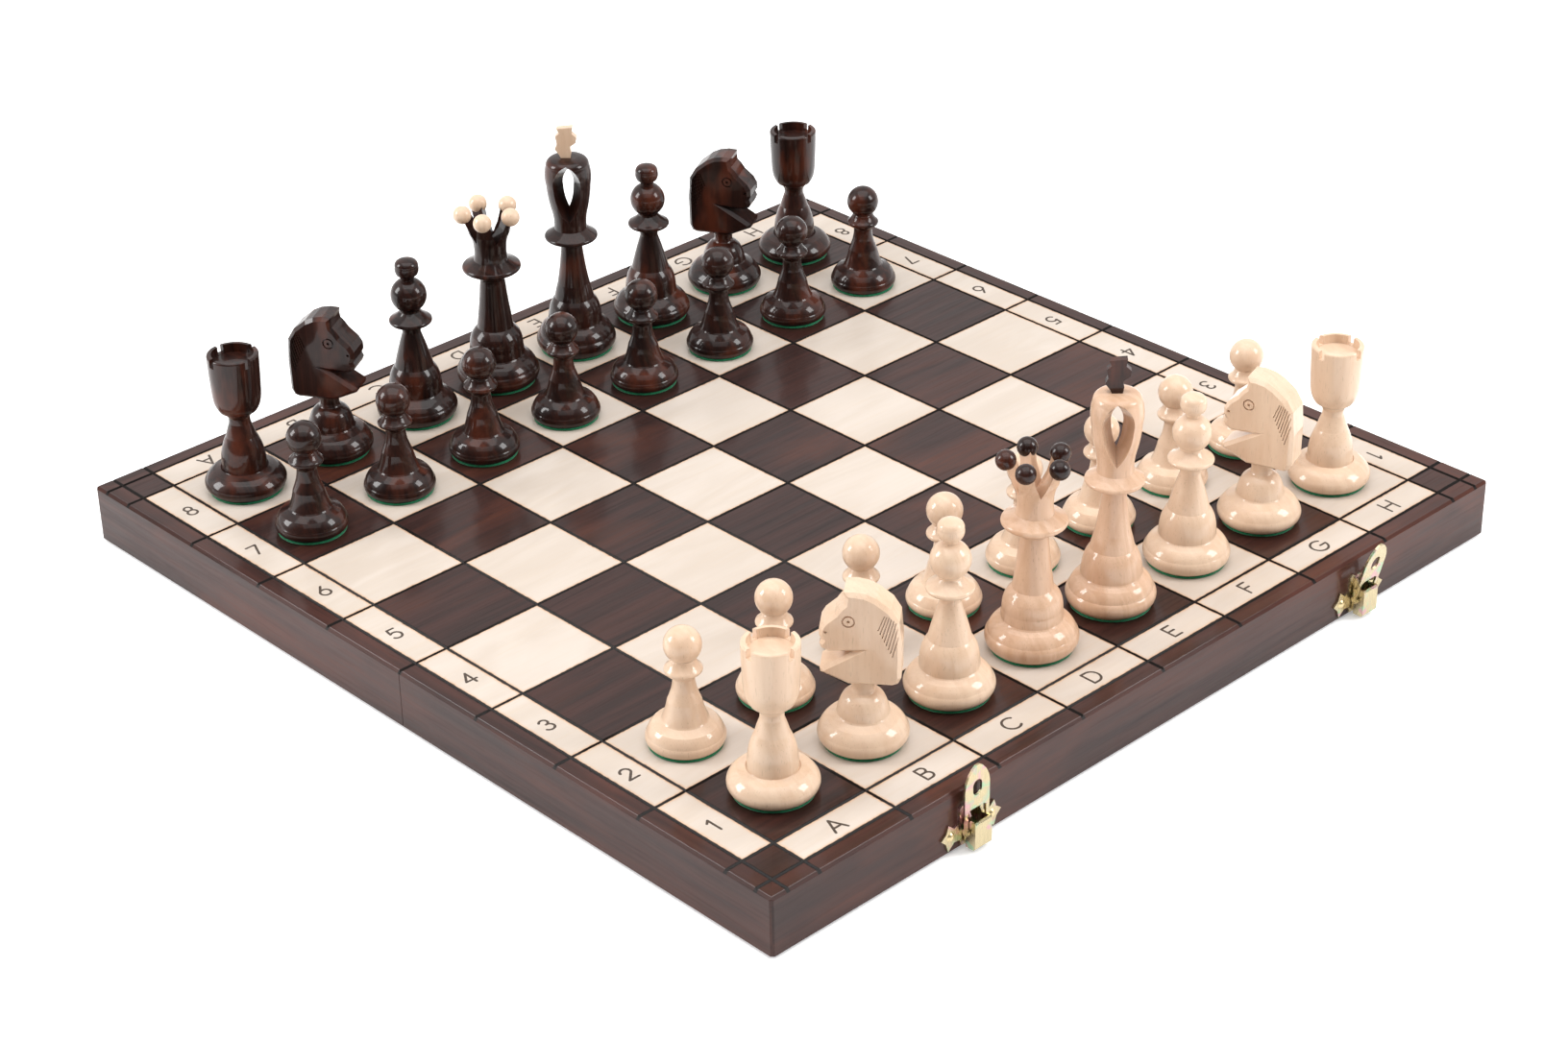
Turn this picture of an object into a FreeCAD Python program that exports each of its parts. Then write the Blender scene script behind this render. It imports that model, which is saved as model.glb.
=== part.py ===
import FreeCAD, Part
import math
import os
import re
import Sketcher
from FreeCAD import Placement, Rotation, Vector

# Wooden chess set on a board that folds into a box.
# Origin: middle of the board, on the ground. X runs along the files a to h,
# Y along the ranks 1 to 8, Z up. Millimetres.

doc = FreeCAD.newDocument("chess_set")
sheet = doc.addObject("Spreadsheet::Sheet", "Sizes")

SIZES = {
    # playing field and frame
    "pitch": 46.5,
    "labelStrip": 15.5,
    "outerBand": 8.5,
    "halfWidth": 210,
    "boardDepth": 25.5,
    "rimHeight": 1.45,
    "railThickness": 12,
    "edgeChamfer": 1.2,
    "panelThickness": 4,
    "veneerThickness": 0.6,
    "grooveWidth": 1.3,
    "foldGap": 0.3,
    "liningThickness": 1,
    # butt hinges
    "hingeOffset": 105,
    "leafLength": 40,
    "leafWidth": 11,
    "leafThickness": 1,
    "knuckleRadius": 1.3,
    "hingePinRadius": 0.6,
    "pinPlay": 0.05,
    "knucklePlay": 0.15,
    # clasps
    "claspLeft": -109,
    "claspRight": 122,
    "nailSpread": 11,
    "claspNailHeight": 7,
    "catchNailHeight": 10,
    "nailShankRadius": 0.7,
    "nailShankLength": 8,
    "nailHeadRadius": 1.9,
    "nailHeadHeight": 1,
    "plateThickness": 0.8,
    "leverHalfWidth": 4.5,
    "leverWall": 0.8,
    "leverPivotOut": 4.4,
    "leverPivotUp": 2.6,
    "leverPinRadius": 0.9,
    "tonguePivotOut": 3.2,
    "tonguePivotUp": 7.6,
    "tongueStudRadius": 0.8,
    "tongueThickness": 0.9,
    "tongueLean": 14,
    # chess pieces
    "padThickness": 1.2,
    "pawnHeight": 50.6,
    "pawnSole": 14.1,
    "rookHeight": 64.5,
    "rookSole": 15.4,
    "rookNotchWidth": 2.8,
    "rookNotchDepth": 3.6,
    "bishopHeight": 76.2,
    "bishopSole": 15.8,
    "queenHeight": 83,
    "queenSole": 16.2,
    "queenBall": 4.1,
    "queenBallRing": 11.4,
    "queenBallHeight": 82.6,
    "kingHeight": 94.8,
    "kingSole": 16.2,
    "kingWindow": 2.3,
    "kingFinial": 14.6,
    "finialThickness": 3.4,
    "knightHeight": 67.6,
    "knightSole": 15.2,
    "knightThickness": 14,
    "knightBevel": 1.6,
    "carvingDepth": 0.8,
    # how far each row stands off the middle of its squares
    "whiteBackAcross": 0,
    "whiteBackAlong": 1,
    "whitePawnsAcross": -1.5,
    "whitePawnsAlong": 0.5,
    "blackPawnsAcross": -3.5,
    "blackPawnsAlong": -2.5,
    "blackBackAcross": -2,
    "blackBackAlong": -0.5,
}
for row, (alias, value) in enumerate(SIZES.items(), start=1):
    sheet.set(f"A{row}", alias)
    sheet.set(f"B{row}", str(value))
    sheet.setAlias(f"B{row}", alias)
doc.recompute()


def size(alias):
    return float(getattr(sheet, alias))


def bound(words):
    """The words with every size name pointed at the sheet."""
    return re.sub(r"[a-zA-Z]+", lambda m: "Sizes." + m[0] if m[0] in SIZES else m[0], words)


def bind(target, **expressions):
    """Bind properties; px, py and pz stand for the position."""
    short = {"px": "Placement.Base.x", "py": "Placement.Base.y", "pz": "Placement.Base.z"}
    for name, words in expressions.items():
        target.setExpression(short.get(name, name), bound(words))
    return target


def box(name, **expressions):
    return bind(doc.addObject("Part::Box", name), **expressions)


def cylinder(name, axis=None, **expressions):
    made = doc.addObject("Part::Cylinder", name)
    if axis:
        made.Placement = Placement(Vector(), Rotation(Vector(0, 0, 1), Vector(*axis)))
    return bind(made, **expressions)


def group(name, members, placement=None):
    made = doc.addObject("Part::Compound", name)
    made.Links = members
    if placement:
        made.Placement = placement
    return made


def cut(name, base, tool):
    made = doc.addObject("Part::Cut", name)
    made.Base = base
    made.Tool = tool
    return made


def fuse(name, members):
    made = doc.addObject("Part::MultiFuse", name)
    made.Shapes = members
    return made


def mirrored(name, source):
    made = doc.addObject("Part::Mirroring", name)
    made.Source = source
    made.Normal = Vector(1, 0, 0)
    return made


def origin_plane(body, role):
    return next(f for f in body.Origin.OriginFeatures if f.Role == role)


def new_sketch(body, name, role, offset=None):
    sketch = body.newObject("Sketcher::SketchObject", name)
    sketch.AttachmentSupport = [(origin_plane(body, role), "")]
    sketch.MapMode = "FlatFace"
    if offset:
        sketch.AttachmentOffset = Placement(offset, Rotation())
    return sketch


def pin_vertex(sketch, geo, end, across, up, across_words, up_words):
    """Fix one end of a sketch element to sheet expressions."""
    for kind, axis, value, words in (
        ("DistanceX", -2, across, across_words),
        ("DistanceY", -1, up, up_words),
    ):
        if abs(value) < 1e-9:
            sketch.addConstraint(Sketcher.Constraint("PointOnObject", geo, end, axis))
            continue
        ends = (-1, 1, geo, end) if value > 0 else (geo, end, -1, 1)
        index = sketch.addConstraint(Sketcher.Constraint(kind, *ends, abs(value)))
        sketch.setExpression(f"Constraints[{index}]", words if value > 0 else f"-({words})")


UPRIGHT = -2


def outline(sketch, corners, turned_about=None):
    """Closed outline through corners (across, up, bulge, across words, up words).

    The bulge is the tangent of a quarter of the arc that leads to the next corner,
    positive to the right of the way. An arc that ends on the axis of a turned
    outline has its middle on that axis too, and so turns into a ball.
    """
    ends = []
    for n, (x, y, bulge, _, _) in enumerate(corners):
        there = corners[(n + 1) % len(corners)]
        start, stop = Vector(x, y, 0), Vector(there[0], there[1], 0)
        if not bulge:
            geo = sketch.addGeometry(Part.LineSegment(start, stop), False)
            ends.append((geo, 1, 2, None))
            continue
        chord = stop - start
        side = Vector(chord.y, -chord.x, 0) * (bulge / 2)
        middle = (start + stop) * 0.5 + side
        if bulge > 0:
            geo = sketch.addGeometry(Part.Arc(start, middle, stop), False)
            ends.append((geo, 1, 2, bulge))
        else:
            geo = sketch.addGeometry(Part.Arc(stop, middle, start), False)
            ends.append((geo, 2, 1, bulge))
    for n, (geo, _, stop, _) in enumerate(ends):
        after, start = ends[(n + 1) % len(ends)][:2]
        sketch.addConstraint(Sketcher.Constraint("Coincident", geo, stop, after, start))
    for (x, y, _, x_words, y_words), (geo, start, _, _) in zip(corners, ends):
        pin_vertex(sketch, geo, start, x, y, x_words, y_words)
    for n, (geo, _, _, bulge) in enumerate(ends):
        if bulge:
            here, there = corners[n], corners[(n + 1) % len(corners)]
            if turned_about and not there[0]:
                sketch.addConstraint(Sketcher.Constraint("PointOnObject", geo, 3, turned_about))
                continue
            chord = math.hypot(there[0] - here[0], there[1] - here[1])
            radius = chord * (1 + bulge * bulge) / (4 * abs(bulge))
            index = sketch.addConstraint(Sketcher.Constraint("Radius", geo, radius))
            across = f"(({there[3]}) - ({here[3]}))"
            up = f"(({there[4]}) - ({here[4]}))"
            factor = (1 + bulge * bulge) / (4 * abs(bulge))
            words = f"sqrt({across}^2 + {up}^2) * {factor:.5f}"
            sketch.setExpression(f"Constraints[{index}]", words)


def plain_outline(sketch, corners):
    """Closed straight outline through (across, up) pairs of size words."""
    values = [[evaluate(words) for words in pair] for pair in corners]
    outline(sketch, [(x, y, 0, bound(a), bound(b)) for (x, y), (a, b) in zip(values, corners)])


def evaluate(words):
    """The value of size words, through a cell of the sheet."""
    sheet.set("D1", "=" + re.sub(r"[a-zA-Z]+", lambda m: sheet.getCellFromAlias(m[0]) or m[0], words))
    sheet.recompute()
    return float(sheet.get("D1"))


def free_outline(sketch, points, scale=None):
    """Closed outline through (across, up) points, as shares of one sheet length."""
    unit = size(scale) if scale else 1
    corners = []
    for x, y in points:
        words = [f"{v / unit:.5f} * Sizes.{scale}" if scale else f"{v:.4f}" for v in (x, y)]
        corners.append((x, y, 0, words[0], words[1]))
    outline(sketch, corners)


def ring(sketch, middle, radii, scale):
    """Circles round one point, as shares of one sheet length."""
    unit = size(scale)
    across, up = (f"{v / unit:.5f} * Sizes.{scale}" for v in middle)
    for radius in radii:
        circle = Part.Circle(Vector(*middle, 0), Vector(0, 0, 1), radius)
        geo = sketch.addGeometry(circle, False)
        pin_vertex(sketch, geo, 3, *middle, across, up)
        index = sketch.addConstraint(Sketcher.Constraint("Radius", geo, radius))
        sketch.setExpression(f"Constraints[{index}]", f"{radius / unit:.5f} * Sizes.{scale}")


def hole(sketch, across, up, radius):
    """A circle whose place and radius are size words."""
    middle = evaluate(across), evaluate(up)
    geo = sketch.addGeometry(Part.Circle(Vector(*middle, 0), Vector(0, 0, 1), evaluate(radius)), False)
    pin_vertex(sketch, geo, 3, *middle, bound(across), bound(up))
    index = sketch.addConstraint(Sketcher.Constraint("Radius", geo, evaluate(radius)))
    sketch.setExpression(f"Constraints[{index}]", bound(radius))


def pad(body, sketch, words, midplane=False, taper=None, reverse=False):
    made = body.newObject("PartDesign::Pad", sketch.Name + "Pad")
    made.Profile = sketch
    made.Midplane = midplane
    made.Reversed = reverse
    if taper:
        made.TaperAngle = taper
    sketch.Visibility = False
    return bind(made, Length=words)


def pocket(body, sketch, words=None, midplane=False, reverse=False):
    made = body.newObject("PartDesign::Pocket", sketch.Name + "Pocket")
    made.Profile = sketch
    made.Midplane = midplane
    made.Reversed = reverse
    sketch.Visibility = False
    if words is None:
        made.Type = "ThroughAll"
        return made
    return bind(made, Length=words)


def polar(body, features, count, angle=360):
    made = body.newObject("PartDesign::PolarPattern", features[-1].Name + "Round")
    made.Originals = features
    made.Axis = (origin_plane(body, "Z_Axis"), [""])
    made.Angle = angle
    made.Occurrences = count
    body.Tip = made
    return made


def new_body(name):
    return doc.addObject("PartDesign::Body", name)


# ---------------------------------------------------------------- chess pieces


def turned(kind, stations):
    """A turned body from stations (radius, height, bulge to the next), sole first."""
    tall, wide = size(kind + "Height"), size(kind + "Sole")
    floor = size("padThickness")
    corners = [(0, floor, 0, "0", "Sizes.padThickness")]
    for radius, height, bulge in stations:
        words = f"Sizes.{kind}Height * {height / tall:.5f}"
        if height == floor:
            words = "Sizes.padThickness"
        corners.append((radius, height, bulge, f"Sizes.{kind}Sole * {radius / wide:.5f}", words))
    body = new_body(kind + "Turning")
    sketch = new_sketch(body, kind + "Profile", "XZ_Plane")
    outline(sketch, corners, UPRIGHT)
    made = body.newObject("PartDesign::Revolution", kind + "Revolution")
    made.Profile = sketch
    made.ReferenceAxis = (sketch, ["V_Axis"])
    made.Angle = 360
    sketch.Visibility = False
    return body


def felt_pad(kind):
    return cylinder(kind + "Felt", Radius=kind + "Sole - 0.3", Height="padThickness")


pawn = turned("pawn", [
    (14.1, 1.2, 0.42),
    (14.8, 5.5, 0.12),
    (12.6, 9.3, -0.03),
    (9.2, 11, 0),
    (8.8, 11.6, -0.05),
    (6.6, 19.3, -0.03),
    (4.9, 24.1, -0.05),
    (4.2, 29, -0.3),
    (6.8, 31.9, 0.5),
    (6.9, 33.8, -0.12),
    (4.8, 36.8, -0.15),
    (4.5, 37.5, 0.714),
    (0, 50.6, 0),
])
pawn_felt = felt_pad("pawn")

rook = turned("rook", [
    (15.4, 1.2, 0.46),
    (16.7, 6.8, 0.14),
    (13.4, 10, -0.03),
    (10.2, 11, 0),
    (9.9, 10.6, -0.3),
    (9.6, 11.4, 0.04),
    (9.3, 17, 0.08),
    (6.6, 25.7, 0.02),
    (4.6, 32, -0.05),
    (4.6, 34.6, -0.15),
    (8.05, 38.2, 0.1),
    (9.9, 42.3, 0.04),
    (10.4, 46.4, 0.01),
    (11, 63.7, 0.3),
    (10.3, 64.5, 0),
    (8.9, 64.5, 0),
    (8.6, 60.7, 0),
    (0, 60.7, 0),
])
slot = new_sketch(rook, "rookNotch", "XY_Plane")
bind(slot, **{"AttachmentOffset.Base.z": "rookHeight"})
plain_outline(slot, [
    ("- 15", "- rookNotchWidth / 2"),
    ("15", "- rookNotchWidth / 2"),
    ("15", "rookNotchWidth / 2"),
    ("- 15", "rookNotchWidth / 2"),
])
notch = pocket(rook, slot, "rookNotchDepth")
polar(rook, [notch], 2, 90)
rook_felt = felt_pad("rook")

bishop = turned("bishop", [
    (15.8, 1.2, 0.46),
    (17, 7.3, 0.14),
    (14.2, 11, -0.03),
    (12.2, 12.4, 0),
    (11.8, 12.9, 0.05),
    (11.2, 19.4, 0.12),
    (8.6, 25, 0.02),
    (4.1, 41, -0.05),
    (4.4, 43.6, -0.25),
    (9, 46, 0.5),
    (9.1, 47.8, -0.1),
    (4.6, 51.4, -0.1),
    (4.8, 52.6, 0.587),
    (2.9, 66.4, -0.3),
    (4.6, 68.9, 0.2),
    (5.2, 72.6, 0.35),
    (3.4, 75.6, 0.0876),
    (0, 76.2, 0),
])
bishop_felt = felt_pad("bishop")

queen = turned("queen", [
    (16.2, 1.2, 0.46),
    (17.6, 8.4, 0.14),
    (14.6, 12.6, -0.03),
    (12.8, 13.7, 0),
    (12.4, 14.3, 0.03),
    (12, 18.1, 0.1),
    (11.1, 23.6, 0.1),
    (8.2, 27.5, 0),
    (6.8, 38.2, -0.01),
    (5.8, 48.2, -0.04),
    (5.6, 50.8, -0.12),
    (12.5, 55.7, 0.5),
    (12.6, 57.9, -0.04),
    (7.7, 60.5, -0.1),
    (7.3, 66.4, -0.12),
    (9.2, 73.6, -0.1),
    (13, 83, 0),
    (7.6, 83, 0),
    (2.6, 73, 0),
    (0, 72, 0),
])
gap = new_sketch(queen, "crownNotch", "YZ_Plane")
free_outline(gap, [(0, 69.8), (3, 77), (4.6, 84), (-4.6, 84), (-3, 77)], "queenHeight")
polar(queen, [pocket(queen, gap, "queenBallRing * 2", reverse=True)], 5)
seat = queen.newObject("PartDesign::SubtractiveSphere", "ballSeat")
spoke = math.radians(36)
seat.AttachmentSupport = [(origin_plane(queen, "XY_Plane"), "")]
seat.MapMode = "FlatFace"
bind(seat, **{
    "Radius": "queenBall",
    "AttachmentOffset.Base.x": f"queenBallRing * {math.cos(spoke):.6f}",
    "AttachmentOffset.Base.y": f"queenBallRing * {math.sin(spoke):.6f}",
    "AttachmentOffset.Base.z": "queenBallHeight",
})
polar(queen, [seat], 5)
queen_felt = felt_pad("queen")
balls = []
for n in range(5):
    turn = spoke + n * math.tau / 5
    balls.append(bind(
        doc.addObject("Part::Sphere", f"ball{n}"),
        Radius="queenBall",
        px=f"queenBallRing * {math.cos(turn):.6f}",
        py=f"queenBallRing * {math.sin(turn):.6f}",
        pz="queenBallHeight",
    ))

king = turned("king", [
    (16.2, 1.2, 0.46),
    (17, 8.2, 0.14),
    (14.6, 12.4, -0.03),
    (12.8, 13.8, 0),
    (12.4, 14.4, 0.05),
    (11.6, 20.4, 0.12),
    (9, 26, 0.02),
    (7.3, 33, -0.02),
    (5.2, 47.4, -0.04),
    (4.9, 52, -0.2),
    (11.5, 55.4, 0.5),
    (11.6, 57.2, -0.04),
    (7.4, 60.2, -0.08),
    (8.2, 69.3, 0.05),
    (10.1, 81.6, 0.12),
    (9.8, 91.2, 0.32),
    (7.4, 94.2, 0.05),
    (4.4, 94.8, 0),
    (0, 94.8, 0),
])
for side in (False, True):
    window = new_sketch(king, f"kingWindow{'Back' if side else 'Front'}", "XZ_Plane")
    outline(window, [
        (0, 70.8, 0.1, "0", "Sizes.kingHeight * 0.74684"),
        (2.3, 81.2, 0.25, "Sizes.kingWindow", "Sizes.kingHeight * 0.85654"),
        (0, 88.6, 0.25, "0", "Sizes.kingHeight * 0.93460"),
        (-2.3, 81.2, 0.1, "-Sizes.kingWindow", "Sizes.kingHeight * 0.85654"),
    ])
    flare = pocket(king, window, "kingSole", reverse=side)
    flare.TaperAngle = 25
king_felt = felt_pad("king")

finial = new_body("finialPlate")
saw = new_sketch(finial, "finialOutline", "XZ_Plane")
SAW = [
    (1.7, 0), (2.2, 2.6), (1.6, 5.2), (4.4, 7.2), (4.8, 9.6), (2.7, 11.6), (3.2, 14.6), (-4, 14),
    (-2.9, 11.8), (-4.7, 10.2), (-4.1, 6.4), (-5.2, 4.2), (-3.2, 1.4), (-2.6, 0),
]
free_outline(saw, SAW, "kingFinial")
pad(finial, saw, "finialThickness", midplane=True)

knight = turned("knight", [
    (15.2, 1.2, 0.46),
    (16.8, 6.8, 0.14),
    (13.6, 11, -0.03),
    (10.4, 12.6, 0),
    (10, 13.2, 0.08),
    (8.3, 19.2, 0.04),
    (7.6, 20.4, 0.1),
    (4.8, 22.6, -0.2),
    (4.2, 24.4, -0.1),
    (5.2, 30, 0),
    (0, 30, 0),
])
HEAD = [
    (4.9, 28.2), (15.3, 33), (15.6, 34.8), (3, 42.4), (12.2, 42), (14.8, 43.4), (15.6, 45.4),
    (14.8, 47.2), (15.7, 49), (15.6, 52), (14, 54.8), (11.6, 57), (9.8, 58.6), (8.2, 61),
    (6.4, 62.8), (6, 65.4), (6.4, 67.4), (2.4, 67.6), (-1.8, 66.8), (-5.6, 65), (-11, 60.6),
    (-14, 55.6), (-14.8, 45), (-14.6, 31.5), (-13.4, 29), (-11.4, 28.2),
]
head = new_sketch(knight, "headOutline", "XZ_Plane")
free_outline(head, HEAD, "knightHeight")
pad(knight, head, "knightThickness - 2 * knightBevel", midplane=True)
for side, flip in (("Left", 1), ("Right", -1)):
    cheek = new_sketch(knight, f"cheek{side}", "XZ_Plane")
    bind(cheek, **{"AttachmentOffset.Base.z": f"{flip} * (knightThickness / 2 - knightBevel)"})
    free_outline(cheek, HEAD, "knightHeight")
    pad(knight, cheek, "knightBevel", taper=-42, reverse=flip < 0)
for side, flip in (("Left", 1), ("Right", -1)):
    carve = new_sketch(knight, f"carving{side}", "XZ_Plane")
    bind(carve, **{"AttachmentOffset.Base.z": f"{flip} * knightThickness / 2"})
    for n in range(8):
        high, low = (-8.4 - 0.85 * n, 58.8 - 0.12 * n * n), (-6 - 0.75 * n, 52.6 - 1.6 * n)
        strand = [high, (high[0] - 0.36, high[1] - 0.16), (low[0] - 0.36, low[1] - 0.16), low]
        free_outline(carve, strand, "knightHeight")
    ring(carve, (4.7, 55.7), (1.9, 2.5), "knightHeight")
    ring(carve, (4.7, 55.7), (0.6,), "knightHeight")
    ring(carve, (13.2, 50.9), (0.6,), "knightHeight")
    pocket(knight, carve, "carvingDepth", reverse=flip < 0)
knight_felt = felt_pad("knight")


# ---------------------------------------------------------------- board

TURN = Placement(Vector(), Rotation(Vector(0, 0, 1), 180))
TOP = "rimHeight + boardDepth"
INNER = "halfWidth - railThickness"


def groove_along_y(name, x_words):
    made = doc.addObject("Part::Box", name)
    made.Placement = Placement(Vector(), Rotation(Vector(0, 1, 0), 45))
    return bind(
        made,
        Length="grooveWidth / sqrt(2)",
        Height="grooveWidth / sqrt(2)",
        Width="halfWidth + 4",
        px=f"{x_words} - grooveWidth / 2",
        py="- halfWidth - 2",
        pz=TOP,
    )


def groove_along_x(name, y_words):
    made = doc.addObject("Part::Box", name)
    made.Placement = Placement(Vector(), Rotation(Vector(1, 0, 0), 45))
    return bind(
        made,
        Length="2 * halfWidth + 4",
        Width="grooveWidth / sqrt(2)",
        Height="grooveWidth / sqrt(2)",
        px="- halfWidth - 2",
        py=y_words,
        pz=f"{TOP} - grooveWidth / 2",
    )


def veneer(name, length, width, x_words, y_words):
    return box(
        name,
        Length=length,
        Width=width,
        Height="veneerThickness",
        px=x_words,
        py=y_words,
        pz=f"{TOP} - veneerThickness",
    )


grooves = [groove_along_y(f"fileGroove{n}", f"{n - 4} * pitch") for n in range(9)]
grooves += [groove_along_x(f"rankGroove{n}", f"{n - 4} * pitch") for n in range(5)]
grooves.append(groove_along_x("frontGroove", "outerBand - halfWidth"))
grooves.append(groove_along_y("leftGroove", "outerBand - halfWidth"))
grooves.append(groove_along_y("rightGroove", "halfWidth - outerBand"))
groove_tool = group("grooveTool", grooves)

square = "pitch - grooveWidth"
strip = "labelStrip - grooveWidth"
cells = []
for file in range(8):
    x = f"{file - 4} * pitch + grooveWidth / 2"
    for rank in range(4):
        y = f"{rank - 4} * pitch + grooveWidth / 2"
        if (file + rank) % 2:
            cells.append(veneer(f"square{file}{rank}", square, square, x, y))
    low = "outerBand - halfWidth + grooveWidth / 2"
    cells.append(veneer(f"fileCell{file}", square, strip, x, low))
for rank in range(4):
    y = f"{rank - 4} * pitch + grooveWidth / 2"
    left, right = "outerBand - halfWidth + grooveWidth / 2", "4 * pitch + grooveWidth / 2"
    cells.append(veneer(f"rankCellLeft{rank}", strip, square, left, y))
    cells.append(veneer(f"rankCellRight{rank}", strip, square, right, y))
veneer_white = group("veneer_white", cells)
veneer_black = group("veneer_black", [veneer_white], TURN)

board = box(
    "panelBoard",
    Length="2 * (halfWidth - outerBand)",
    Width="halfWidth - outerBand - foldGap / 2",
    Height="panelThickness",
    px="outerBand - halfWidth",
    py="outerBand - halfWidth",
    pz=f"{TOP} - panelThickness",
)
panel_white = cut("panel_white", cut("groovedPanel", board, groove_tool), veneer_white)
panel_black = group("panel_black", [panel_white], TURN)

lining_white = box(
    "lining_white",
    Length=f"2 * ({INNER})",
    Width=f"{INNER} - railThickness - foldGap / 2",
    Height="liningThickness",
    px=f"- ({INNER})",
    py=f"- ({INNER})",
    pz=f"{TOP} - panelThickness - liningThickness",
)
lining_black = group("lining_black", [lining_white], TURN)

LEDGE = f"{TOP} - panelThickness"
front = new_body("frontRail")
section = new_sketch(front, "frontSection", "YZ_Plane")
plain_outline(section, [
    ("- halfWidth", "rimHeight"),
    ("railThickness - halfWidth", "rimHeight"),
    ("railThickness - halfWidth", LEDGE),
    ("outerBand - halfWidth", LEDGE),
    ("outerBand - halfWidth", TOP),
    ("edgeChamfer - halfWidth", TOP),
    ("- halfWidth", f"{TOP} - edgeChamfer"),
])
pad(front, section, "2 * halfWidth", midplane=True)
mitre = new_sketch(front, "frontMitre", "XY_Plane")
for end in (1, -1):
    plain_outline(mitre, [
        (f"{end} * (halfWidth - 1.8)", "- halfWidth - 0.6"),
        (f"{end} * (halfWidth - 0.6)", "0.6 - halfWidth"),
        (f"{end} * (halfWidth - 13)", "13 - halfWidth"),
        (f"{end} * (halfWidth + 2)", "13 - halfWidth"),
        (f"{end} * (halfWidth + 2)", "- halfWidth - 0.6"),
    ])
pocket(front, mitre, reverse=True)

side = new_body("sideRail")
section = new_sketch(side, "sideSection", "XZ_Plane")
bind(section, **{"AttachmentOffset.Base.z": "foldGap / 2"})
plain_outline(section, [
    ("halfWidth", "rimHeight"),
    ("halfWidth", f"{TOP} - edgeChamfer"),
    ("halfWidth - edgeChamfer", TOP),
    ("halfWidth - outerBand", TOP),
    ("halfWidth - outerBand", LEDGE),
    ("halfWidth - railThickness", LEDGE),
    ("halfWidth - railThickness", "rimHeight"),
])
pad(side, section, "halfWidth - foldGap / 2")
mitre = new_sketch(side, "sideMitre", "XY_Plane")
plain_outline(mitre, [
    ("halfWidth + 0.6", "1.8 - halfWidth"),
    ("halfWidth - 0.6", "0.6 - halfWidth"),
    ("halfWidth - 13", "13 - halfWidth"),
    ("halfWidth - 13", "- halfWidth - 2"),
    ("halfWidth + 0.6", "- halfWidth - 2"),
])
pocket(side, mitre, reverse=True)
grooved_side = cut("groovedSide", side, groove_tool)
side_rails_white = group("side_rails_white", [grooved_side, mirrored("otherSide", grooved_side)])
side_rails_black = group("side_rails_black", [side_rails_white], TURN)
grooved_front = cut("groovedFront", front, groove_tool)

# ---------------------------------------------------------------- nails and screws

nail = new_body("nail")
profile = new_sketch(nail, "nailProfile", "XZ_Plane")
outline(profile, [
    (0, -8, 0, "0", "-Sizes.nailShankLength"),
    (0.7, -8, 0, "Sizes.nailShankRadius", "-Sizes.nailShankLength"),
    (0.7, 0, 0, "Sizes.nailShankRadius", "0"),
    (1.9, 0, 0.4, "Sizes.nailHeadRadius", "0"),
    (0, 1, 0, "0", "Sizes.nailHeadHeight"),
], UPRIGHT)
turning = nail.newObject("PartDesign::Revolution", "nailRevolution")
turning.Profile = profile
turning.ReferenceAxis = (profile, ["V_Axis"])
turning.Angle = 360
screw = fuse("screw", [
    cylinder("screwHead", Radius="1.7", Height="leafThickness - 0.1", pz="0.1"),
    cylinder("screwShank", Radius="0.9", Height="7", pz="leafThickness / 2"),
])


def placed(name, source, rotation, **words):
    made = group(name, [source], Placement(Vector(), rotation))
    return bind(made, **words)


def plate_nails(side, face, lean, up):
    made = []
    for clasp in ("claspLeft", "claspRight"):
        for sign in ("-", "+"):
            made.append(placed(
                f"nail{side}{len(made)}",
                nail,
                Rotation(Vector(1, 0, 0), lean),
                px=f"{clasp} {sign} nailSpread",
                py=f"{face} * (halfWidth + plateThickness)",
                pz=f"rimHeight + {up}",
            ))
    return made


def leaf_screws(side, face):
    made = []
    for hinge in (-1, 1):
        for n in (-1, 0, 1):
            made.append(placed(
                f"screw{side}{len(made)}",
                screw,
                Rotation(),
                px=f"{hinge} * hingeOffset + {n} * leafLength * 0.36",
                py=f"{face} * leafWidth * 0.62",
                pz="rimHeight",
            ))
    return made


nails_white = group("nails_white", plate_nails("White", -1, 90, "claspNailHeight")
                    + leaf_screws("White", -1))
nails_black = group("nails_black", plate_nails("Black", 1, -90, "catchNailHeight")
                    + leaf_screws("Black", 1))

# ---------------------------------------------------------------- hinges

AXIS_X = (1, 0, 0)


def bar_along_x(name, radius, length, x_words):
    """A round bar along X on the fold axis, starting at x_words."""
    return cylinder(name, AXIS_X, Radius=radius, Height=length, px=x_words, pz="knuckleRadius")


def leaf(side, face, hinge, knuckles):
    start = f"{hinge} * hingeOffset - leafLength / 2"
    near = "knuckleRadius + 0.25"
    name = f"leaf{side}{'L' if hinge < 0 else 'R'}"
    low = "- leafWidth" if face < 0 else near
    parts = [box(
        name + "Plate",
        Length="leafLength",
        Width=f"leafWidth - ({near})",
        Height="leafThickness",
        px=start,
        py=low,
        pz="rimHeight",
    )]
    for n in knuckles:
        begin = f"{start} + {n} * leafLength / 5 + knucklePlay"
        length = "leafLength / 5 - 2 * knucklePlay"
        parts.append(box(
            f"{name}Finger{n}",
            Length=length,
            Width=f"{near} + 0.2",
            Height="leafThickness",
            px=begin,
            py=f"- ({near}) - 0.2" if face < 0 else "0",
            pz="rimHeight",
        ))
        parts.append(bar_along_x(f"{name}Knuckle{n}", "knuckleRadius", length, begin))
    bore = bar_along_x(f"{name}Bore", "hingePinRadius + pinPlay", "leafLength", start)
    return cut(name, fuse(name + "Body", parts), bore)


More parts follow.
